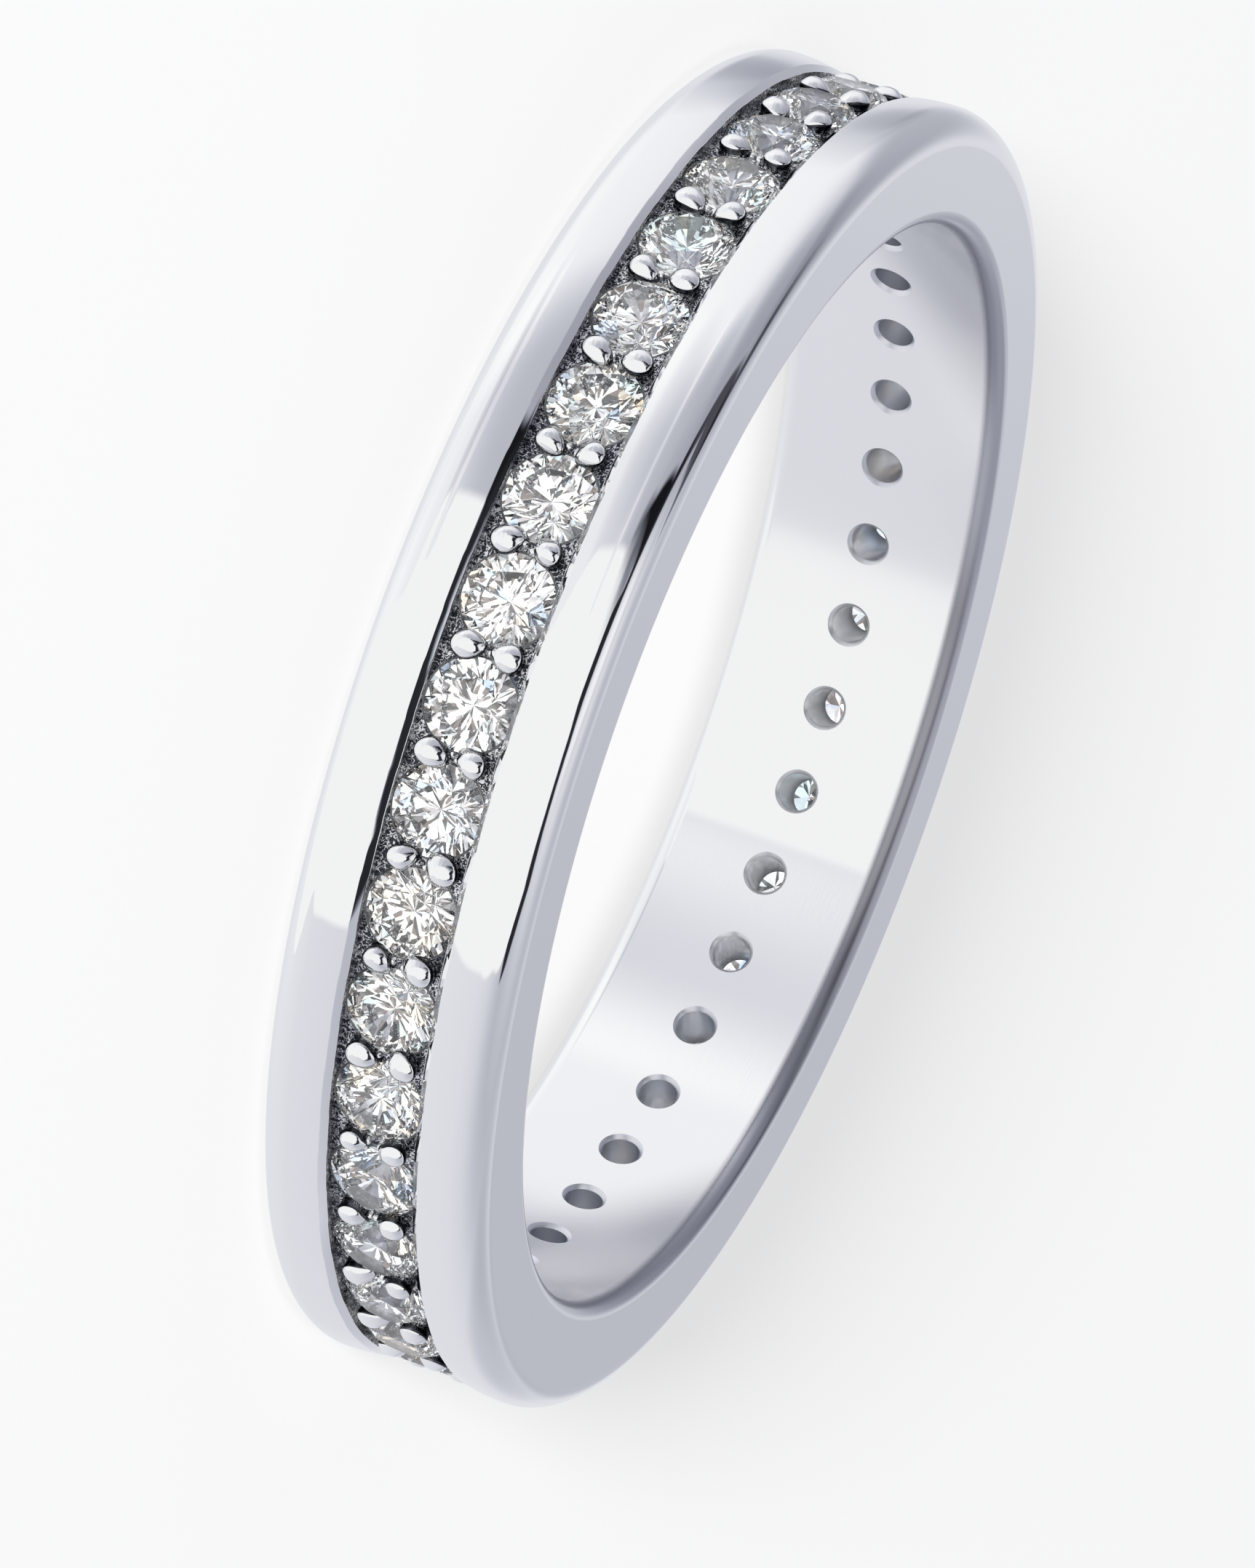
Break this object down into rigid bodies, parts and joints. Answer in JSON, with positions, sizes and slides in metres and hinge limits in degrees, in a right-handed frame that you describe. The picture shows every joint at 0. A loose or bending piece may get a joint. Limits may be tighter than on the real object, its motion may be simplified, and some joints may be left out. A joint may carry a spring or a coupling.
{
  "type": "eternity ring",
  "caption": "Eternity ring: polished white metal band with domed rails and a channel of bead-set round brilliants all the way round.",
  "frame": {"origin": "on the ring's axis, at the middle of the lower side face, on the surface that the ring lies on", "axes": "+Z along the ring's axis, up from the side that it lies on; +X out through the centre of stone 1; the stones are numbered towards +Y"},
  "size_m": [0.0206, 0.0204, 0.0036],
  "materials": {
    "white_metal": "mirror-polished rhodium-white rails, sides, inside and grains, dark graved channel floor",
    "brilliant": "colourless round brilliant, polished facets"
  },
  "bodies": {
    "root": {"band": "white_metal", "stone_01": "brilliant", "stone_02": "brilliant", "stone_03": "brilliant", "stone_04": "brilliant", "stone_05": "brilliant", "stone_06": "brilliant", "stone_07": "brilliant", "stone_08": "brilliant", "stone_09": "brilliant", "stone_10": "brilliant", "stone_11": "brilliant", "stone_12": "brilliant", "stone_13": "brilliant", "stone_14": "brilliant", "stone_15": "brilliant", "stone_16": "brilliant", "stone_17": "brilliant", "stone_18": "brilliant", "stone_19": "brilliant", "stone_20": "brilliant", "stone_21": "brilliant", "stone_22": "brilliant", "stone_23": "brilliant", "stone_24": "brilliant", "stone_25": "brilliant", "stone_26": "brilliant", "stone_27": "brilliant", "stone_28": "brilliant", "stone_29": "brilliant", "stone_30": "brilliant", "stone_31": "brilliant", "stone_32": "brilliant", "stone_33": "brilliant", "stone_34": "brilliant", "stone_35": "brilliant", "stone_36": "brilliant", "stone_37": "brilliant", "stone_38": "brilliant", "stone_39": "brilliant"}
  },
  "joints": []
}
